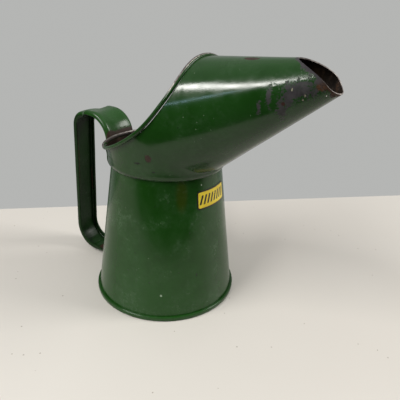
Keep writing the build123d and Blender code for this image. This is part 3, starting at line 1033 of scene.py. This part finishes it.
# An olive-tinted vertical streak on the body's right front.
BODY_OLIVE_STREAK = [((31.1, -22.6, 86.0), 4.2, (0.75, 0.75, 2.6), 0.75)]
ROLL_RUST = [
    ((-34.0, 22.0, 106.8), 5.0, (1.0, 1.2, 0.8), BROWN),
    ((-33.0, -22.0, 106.8), 3.0, (1.0, 1.2, 0.8), BROWN),
    ((29.8, -8.0, 165.0), 1.0, (1, 1.4, 1), BROWN),
]
CHANNEL_RUST = [
    ((-86.5, -5.2, 72.0), 1.0, (3.0, 0.9, 34.0), (0.030, 0.020, 0.008)),
    ((-88.5, 7.5, 60.0), 0.8, (1.2, 0.8, 16.0), BROWN),
    ((-89.0, -7.8, 40.0), 1.1, (1.2, 0.8, 9.0), BROWN),
    ((-66.0, 0.0, 3.0), 3.0, (2.0, 2.5, 1.0), BROWN),
]
STRAP_RUST = [
    ((-42.5, 4.0, 104.5), 7.5, (0.6, 1.7, 0.8), BROWN),
    ((-42.8, -9.0, 106.0), 5.0, (0.6, 1.3, 0.9), BROWN),
]


def dress(piece, finishes):
    """Puts finishes on a piece's material slots, keeping which faces use which."""
    used = [face.material_index for face in piece.data.polygons]
    piece.data.materials.clear()
    for finish in finishes:
        piece.data.materials.append(finish)
    piece.data.polygons.foreach_set("material_index", used)


def build():
    """Makes every visible piece, puts it in its node's place and finishes the nodes that stay."""
    outside = enamel("hood_green_enamel", HOOD_RUST, HOOD_PALE_CHIPS_AND_GLINT, (), HOOD_BARE, True, 0.86, 0.15)
    body_green = enamel("body_green_enamel", BODY_RUST, BODY_PALE, BODY_OLIVE_STREAK, gloss=0.20, hazy=1.0)
    roll_green = enamel("roll_green_enamel", ROLL_RUST, tone=0.9, gloss=0.24)
    handle_green = enamel("handle_green_enamel", STRAP_RUST, tone=1.10, gloss=0.24)
    # Darker copy of the strap's enamel (tone 0.42): painted shade in the channel and on the turned
    # edges, with rust streaks.
    channel_shade_and_rust = enamel("channel_enamel_painted_shade_and_rust", CHANNEL_RUST, tone=0.42, gloss=0.30, ior=1.25)
    foot_green = enamel("foot_green_enamel", tone=1.0, gloss=0.17)
    inside = rusty_inside("rusty_inside")
    worn_edge = bare_metal("worn_steel_edge", (0.16, 0.13, 0.12), (0.42, 0.38, 0.35), 0.7, 0.42)
    solder = bare_metal("dull_solder", (0.10, 0.055, 0.035), (0.24, 0.19, 0.15), 0.55, 0.5, 250.0)
    tinplate = bare_metal("stained_tinplate", (0.07, 0.045, 0.03), (0.24, 0.20, 0.17), 0.6, 0.5, 160.0)
    wire = bare_metal("iron_wire", (0.12, 0.10, 0.09), (0.32, 0.30, 0.28), 0.8, 0.4)
    compound = bare_metal("seam_compound", (0.05, 0.035, 0.02), (0.11, 0.08, 0.045), 0.0, 0.7)
    grimy_rim = bare_metal("grimy_rim_edge", (0.010, 0.007, 0.005), (0.034, 0.020, 0.012), 0.0, 0.75)
    printed = label_print("label_print")

    made = [
        (make_body(), "body_shell", "green_enamel", [body_green, inside]),
        (make_foot(), "base_disc", "foot_enamel", [foot_green, inside]),
        (make_hood(), "hood_shell", "green_enamel", [outside, inside, worn_edge]),
        (make_rim_roll(), "rim_curl", "green_enamel", [roll_green, grimy_rim]),
        (make_handle(), "handle_strap", "handle_enamel", [handle_green, channel_shade_and_rust]),
        (make_label(), "front_label", "label_print", [printed]),
        (make_upper_solder(), "handle_upper_solder", "solder", [solder]),
        (make_lower_solder(), "handle_lower_solder", "solder", [solder]),
    ]
    for piece, node, slot, finishes in made:
        dress(piece, finishes)
        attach(piece, "root")
        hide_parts(node)
    kept = {
        "rim_wire": wire,
        "hood_seam_strip": tinplate,
        "base_seam_compound": compound,
        "body_side_seam": tinplate,
        "neck_solder": solder,
    }
    for node, finish in kept.items():
        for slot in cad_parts[node].material_slots:
            slot.material = finish


# --- stage, light and camera ------------------------------------------------------
VIEW_LEVEL = Vector((-0.5743, 0.8187, 0.0))      # level direction away from the camera
TABLE_FRONT = -200.0
TABLE_BACK = 137.0
TABLE_HALF = 900.0
TABLE_SKEW = 0.19        # the table's edges aren't quite square to the view
WALL_GREY = (0.46, 0.465, 0.455)
CAMERA_AT = (176.25, -210.05, 192.1)
CAMERA_AHEAD = (-0.5223, 0.7446, -0.4157)
CAMERA_ROLL = radians(2.60)
LENS = 38.07
SENSOR = 36.0
HOOD_MIDDLE = (0.04, 0, 0.13)    # metres, what the strips face


def make_floor():
    across = Vector((VIEW_LEVEL.y, -VIEW_LEVEL.x, 0))
    skew = TABLE_HALF * TABLE_SKEW
    corners = [(-TABLE_HALF, TABLE_FRONT - skew), (TABLE_HALF, TABLE_FRONT + skew)]
    corners += [(TABLE_HALF, TABLE_BACK + skew), (-TABLE_HALF, TABLE_BACK - skew)]
    points = [across * a + VIEW_LEVEL * b for a, b in corners]
    floor = make_piece("table_top", points, [(0, 1, 2, 3)])
    floor.data.materials.append(table_top("table_top"))


def make_room():
    """Pale grey wall tone behind, dim room in front, soft light from above."""
    room = Finish("soft_room", world=True)
    facing = room.vector("DOT_PRODUCT", room.place, VIEW_LEVEL, "Value")
    height = room.node("ShaderNodeSeparateXYZ", None, {0: room.place}, "Z")
    wall = room.step(facing, 0.0, 0.75, 0.04, 0.38)
    ceiling = room.step(height, 0.30, 0.85, 0.0, 0.50)
    seen = room.node("ShaderNodeLightPath", None, None, "Is Camera Ray")
    lit = room.mix(wall.or_more(ceiling), (0, 0, 0), (1.0, 1.0, 0.99))
    room.paint(Color=room.mix(seen, lit, WALL_GREY))
    bpy.context.scene.world = room.material


def hang_lamp(name, width, height, power, colour):
    lamp = bpy.data.lights.new(name, "AREA")
    lamp.shape = "RECTANGLE"
    lamp.size = width
    lamp.size_y = height
    lamp.energy = power
    lamp.color = colour
    holder = bpy.data.objects.new(name, lamp)
    bpy.context.scene.collection.objects.link(holder)
    return holder


def make_light(name, place, target, size, power, colour):
    """A square soft light that faces a target."""
    holder = hang_lamp(name, size, size, power, colour)
    holder.location = place
    holder.rotation_euler = (Vector(target) - Vector(place)).to_track_quat("-Z", "Y").to_euler()


def make_strip(name, start, end, width, power, colour):
    """A long narrow light between two points, facing the can."""
    a, b = Vector(start), Vector(end)
    holder = hang_lamp(name, (b - a).length, width, power, colour)
    along = (b - a).normalized()
    back = (a + b) / 2 - Vector(HOOD_MIDDLE)
    back = (back - along * back.dot(along)).normalized()
    turn = Matrix((along, back.cross(along), back)).transposed()
    holder.matrix_world = Matrix.Translation((a + b) / 2) @ turn.to_4x4()


def make_camera():
    ahead = Vector(CAMERA_AHEAD).normalized()
    level = ahead.cross(Vector((0, 0, 1))).normalized()
    up = level.cross(ahead)
    right = level * cos(CAMERA_ROLL) + up * sin(CAMERA_ROLL)
    over = up * cos(CAMERA_ROLL) - level * sin(CAMERA_ROLL)
    camera = bpy.data.objects.new("camera", bpy.data.cameras.new("camera"))
    bpy.context.scene.collection.objects.link(camera)
    camera.data.lens = LENS
    camera.data.sensor_width = SENSOR
    camera.data.clip_start = 0.01
    camera.data.clip_end = 20.0
    turn = Matrix((right, over, -ahead)).transposed()
    camera.matrix_world = Matrix.Translation(Vector(CAMERA_AT) * MM) @ turn.to_4x4()
    bpy.context.scene.camera = camera


def make_light_and_camera():
    bpy.context.scene.view_settings.view_transform = "Standard"
    make_room()
    make_light("side_window", (0.95, 0.68, 0.95), (0, 0, 0.05), 0.55, 11.0, (1.0, 0.985, 0.96))
    make_strip("ceiling_strip", (-0.68, -0.64, 1.21), (0.09, -1.80, 1.20), 0.12, 24.0, (1.0, 0.98, 0.95))
    make_strip("sky_gap", (-0.60, -1.71, 1.00), (-0.31, -1.69, 1.16), 0.05, 1.1, (0.55, 0.80, 1.0))
    make_camera()


build()
make_floor()
make_light_and_camera()
